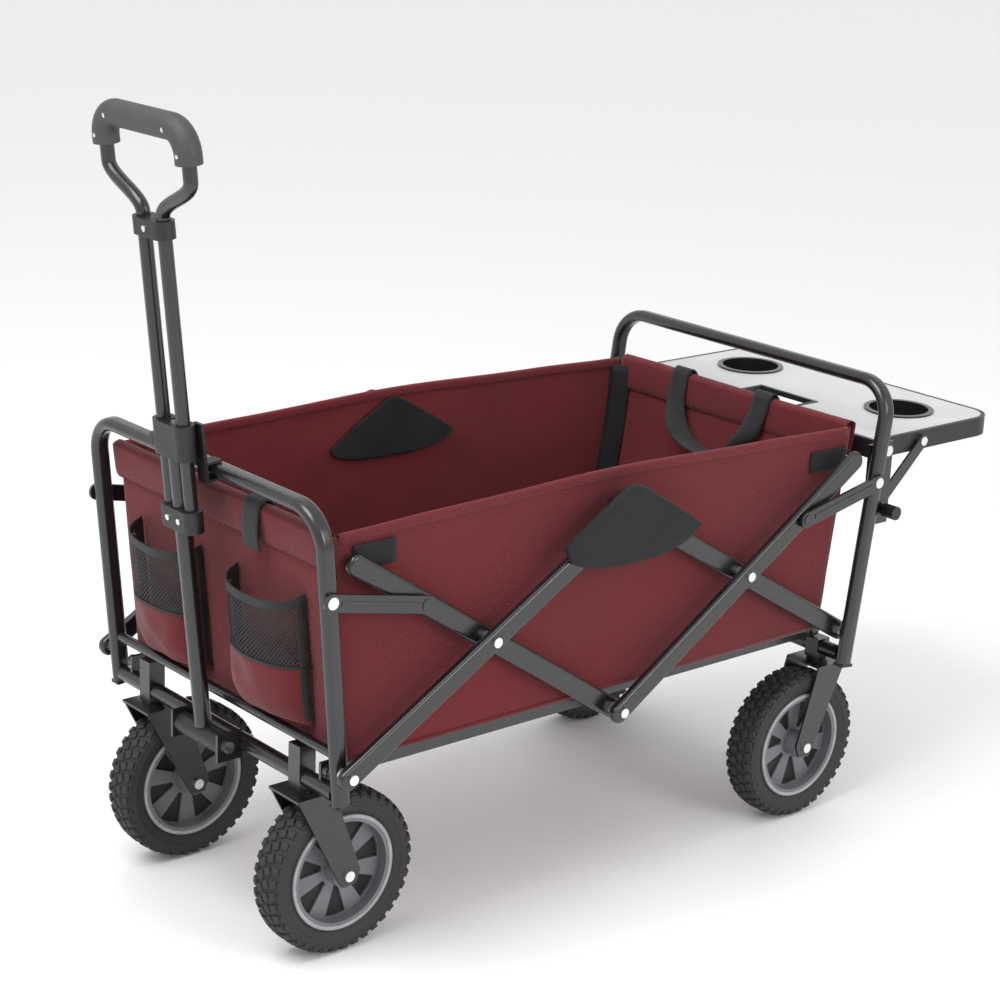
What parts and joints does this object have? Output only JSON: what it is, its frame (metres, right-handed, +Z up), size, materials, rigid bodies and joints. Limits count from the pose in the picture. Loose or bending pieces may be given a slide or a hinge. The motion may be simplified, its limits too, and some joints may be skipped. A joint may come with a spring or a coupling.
{
  "type": "wagon with pull handle",
  "caption": "Folding four-wheel utility wagon with a fabric tub, telescopic pull handle, swivelling front wheels and a fold-down rear table with cup holders.",
  "frame": {"origin": "on the ground, under the middle of the wagon's bounding box", "axes": "+Z up, the pull handle points to -Y, the table to +Y, +X is the left side seen from behind the handle"},
  "size_m": [0.5372, 1.2128, 0.9629],
  "materials": {
    "frame_black": "black gloss powder coat",
    "fitting_black": "moulded black nylon",
    "bright_bolt": "zinc plated",
    "rim_grey": "moulded grey plastic",
    "tyre_black": "foam rubber tread",
    "tub_red": "maroon woven polyester",
    "pocket_mesh": "black mesh with maroon hem",
    "grip_grey": "moulded grip, fine texture",
    "table_grey": "light grey moulded board"
  },
  "bodies": {
    "rear_frame": {"rear_frame_loop": "frame_black", "rear_leg_plugs": "fitting_black", "rear_cross_bars": "frame_black", "rear_fork_posts": "frame_black", "rear_forks": "frame_black", "rear_axles": "bright_bolt", "rear_leg_bolts": "bright_bolt", "rear_rail_lugs": "frame_black", "fabric_tub": "tub_red", "floor_mat": "tub_red", "table_leg_brackets": "frame_black"},
    "rear_falling": {"rear_falling_bars": "frame_black"},
    "rear_rising": {"rear_rising_bars": "frame_black", "rear_bar_bolts": "bright_bolt"},
    "front_rising": {"front_rising_bars": "frame_black", "front_bar_bolts": "bright_bolt"},
    "front_falling": {"front_falling_bars": "frame_black", "upper_middle_bolts": "bright_bolt"},
    "front_frame": {"front_frame_loop": "frame_black", "front_leg_plugs": "fitting_black", "front_cross_bars": "frame_black", "front_fork_posts": "frame_black", "front_frame_bolts": "bright_bolt", "front_rail_lugs": "frame_black", "front_pockets": "pocket_mesh", "handle_cheeks": "frame_black"},
    "front_link": {"front_links": "frame_black"},
    "rear_link": {"rear_links": "frame_black"},
    "front_floor": {"front_floor_rails": "frame_black"},
    "rear_floor": {"rear_floor_rails": "frame_black"},
    "caster_left": {"front_fork_left": "frame_black", "front_axle_left": "bright_bolt"},
    "caster_right": {"front_fork_right": "frame_black", "front_axle_right": "bright_bolt"},
    "wheel_front_left": {"front_tyre_left": "tyre_black", "front_rim_left": "rim_grey"},
    "wheel_front_right": {"front_tyre_right": "tyre_black", "front_rim_right": "rim_grey"},
    "wheel_rear_left": {"rear_tyre_left": "tyre_black", "rear_rim_left": "rim_grey"},
    "wheel_rear_right": {"rear_tyre_right": "tyre_black", "rear_rim_right": "rim_grey"},
    "handle_lower": {"handle_pivot_barrel": "fitting_black", "handle_lower_tube": "frame_black", "handle_guide": "fitting_black", "handle_clip": "fitting_black"},
    "handle_latch": {"handle_button": "fitting_black"},
    "handle_upper": {"handle_upper_tubes": "frame_black", "handle_bracket": "fitting_black", "handle_neck_clamp": "fitting_black", "handle_grip": "grip_grey", "handle_rivets": "bright_bolt"},
    "table": {"table_rim": "fitting_black", "table_board": "table_grey", "table_slot_frame": "fitting_black", "cup_holders": "fitting_black", "table_bolts": "bright_bolt"},
    "struts": {"table_struts": "frame_black"},
    "knob_left": {"strut_knob_left": "fitting_black"},
    "knob_right": {"strut_knob_right": "fitting_black"}
  },
  "joints": [
    {"name": "fold", "type": "hinge", "parent": "rear_frame", "child": "rear_falling", "pos_m": [0, 0.31641, 0.257], "axis": [-1, 0, 0], "range_deg": [0, 40.5], "deforming": ["fabric_tub", "floor_mat"]},
    {"name": "rear_crossing", "type": "hinge", "parent": "rear_falling", "child": "rear_rising", "pos_m": [0, 0.11741, 0.37482], "axis": [1, 0, 0], "range_deg": [0, 79.43]},
    {"name": "middle_pivot", "type": "hinge", "parent": "rear_rising", "child": "front_rising", "pos_m": [0, -0.08659, 0.2415], "axis": [-1, 0, 0], "range_deg": [0, 77.37]},
    {"name": "front_crossing", "type": "hinge", "parent": "front_rising", "child": "front_falling", "pos_m": [0, -0.29059, 0.37482], "axis": [1, 0, 0], "range_deg": [0, 79.43]},
    {"name": "front_leg_pivot", "type": "hinge", "parent": "front_falling", "child": "front_frame", "pos_m": [0, -0.48959, 0.257], "axis": [-1, 0, 0], "range_deg": [0, 41]},
    {"name": "front_link_pivot", "type": "hinge", "parent": "front_frame", "child": "front_link", "pos_m": [0, -0.51059, 0.461], "axis": [1, 0, 0], "range_deg": [0, 75.55]},
    {"name": "rear_link_pivot", "type": "hinge", "parent": "rear_frame", "child": "rear_link", "pos_m": [0, 0.33741, 0.461], "axis": [-1, 0, 0], "range_deg": [0, 75.55]},
    {"name": "front_rail_pivot", "type": "hinge", "parent": "front_frame", "child": "front_floor", "pos_m": [0, -0.48259, 0.247], "axis": [1, 0, 0], "range_deg": [0, 69.51]},
    {"name": "rear_rail_pivot", "type": "hinge", "parent": "rear_frame", "child": "rear_floor", "pos_m": [0, 0.30941, 0.247], "axis": [-1, 0, 0], "range_deg": [0, 69.51]},
    {"name": "caster_swivel_left", "type": "hinge", "parent": "front_frame", "child": "caster_left", "pos_m": [0.157, -0.48688, 0.206], "axis": [0, 0, 1], "continuous": true},
    {"name": "front_wheel_spin_left", "type": "hinge", "parent": "caster_left", "child": "wheel_front_left", "pos_m": [0.157, -0.44038, 0.1], "axis": [1, 0, 0], "continuous": true},
    {"name": "rear_wheel_spin_left", "type": "hinge", "parent": "rear_frame", "child": "wheel_rear_left", "pos_m": [0.202, 0.27257, 0.1], "axis": [1, 0, 0], "continuous": true},
    {"name": "caster_swivel_right", "type": "hinge", "parent": "front_frame", "child": "caster_right", "pos_m": [-0.157, -0.48688, 0.206], "axis": [0, 0, 1], "continuous": true},
    {"name": "front_wheel_spin_right", "type": "hinge", "parent": "caster_right", "child": "wheel_front_right", "pos_m": [-0.157, -0.44038, 0.1], "axis": [1, 0, 0], "continuous": true},
    {"name": "rear_wheel_spin_right", "type": "hinge", "parent": "rear_frame", "child": "wheel_rear_right", "pos_m": [-0.202, 0.27257, 0.1], "axis": [1, 0, 0], "continuous": true},
    {"name": "handle_tilt", "type": "hinge", "parent": "front_frame", "child": "handle_lower", "pos_m": [0, -0.51459, 0.229], "axis": [1, 0, 0], "range_deg": [0, 100]},
    {"name": "handle_slide", "type": "slide", "parent": "handle_lower", "child": "handle_upper", "axis": [0, -0.1063, 0.9943], "range_m": [-0.205, 0.058]},
    {"name": "handle_button_press", "type": "slide", "parent": "handle_lower", "child": "handle_latch", "axis": [1, 0, 0], "range_m": [0, 0.004], "stiffness_N_per_m": 400},
    {"name": "table_fold", "type": "hinge", "parent": "rear_frame", "child": "table", "pos_m": [0, 0.37241, 0.494], "axis": [-1, 0, 0], "range_deg": [0, 90]},
    {"name": "strut_fold", "type": "hinge", "parent": "table", "child": "struts", "pos_m": [0, 0.45141, 0.493], "axis": [1, 0, 0], "range_deg": [0, 137]},
    {"name": "knob_pull_left", "type": "slide", "parent": "rear_frame", "child": "knob_left", "axis": [1, 0, 0], "range_m": [0, 0.009], "stiffness_N_per_m": 500},
    {"name": "knob_pull_right", "type": "slide", "parent": "rear_frame", "child": "knob_right", "axis": [-1, 0, 0], "range_m": [0, 0.009], "stiffness_N_per_m": 500}
  ],
  "couplings": [
    {"joint": "rear_crossing", "follows": "fold", "ratio": 1.949},
    {"joint": "middle_pivot", "follows": "fold", "ratio": 1.898},
    {"joint": "front_crossing", "follows": "fold", "ratio": 1.949},
    {"joint": "front_leg_pivot", "follows": "fold", "ratio": 1},
    {"joint": "front_link_pivot", "follows": "fold", "ratio": 1.853},
    {"joint": "rear_link_pivot", "follows": "fold", "ratio": 1.853},
    {"joint": "front_rail_pivot", "follows": "fold", "ratio": 1.704},
    {"joint": "rear_rail_pivot", "follows": "fold", "ratio": 1.704},
    {"joint": "strut_fold", "follows": "table_fold", "ratio": 1.52}
  ]
}
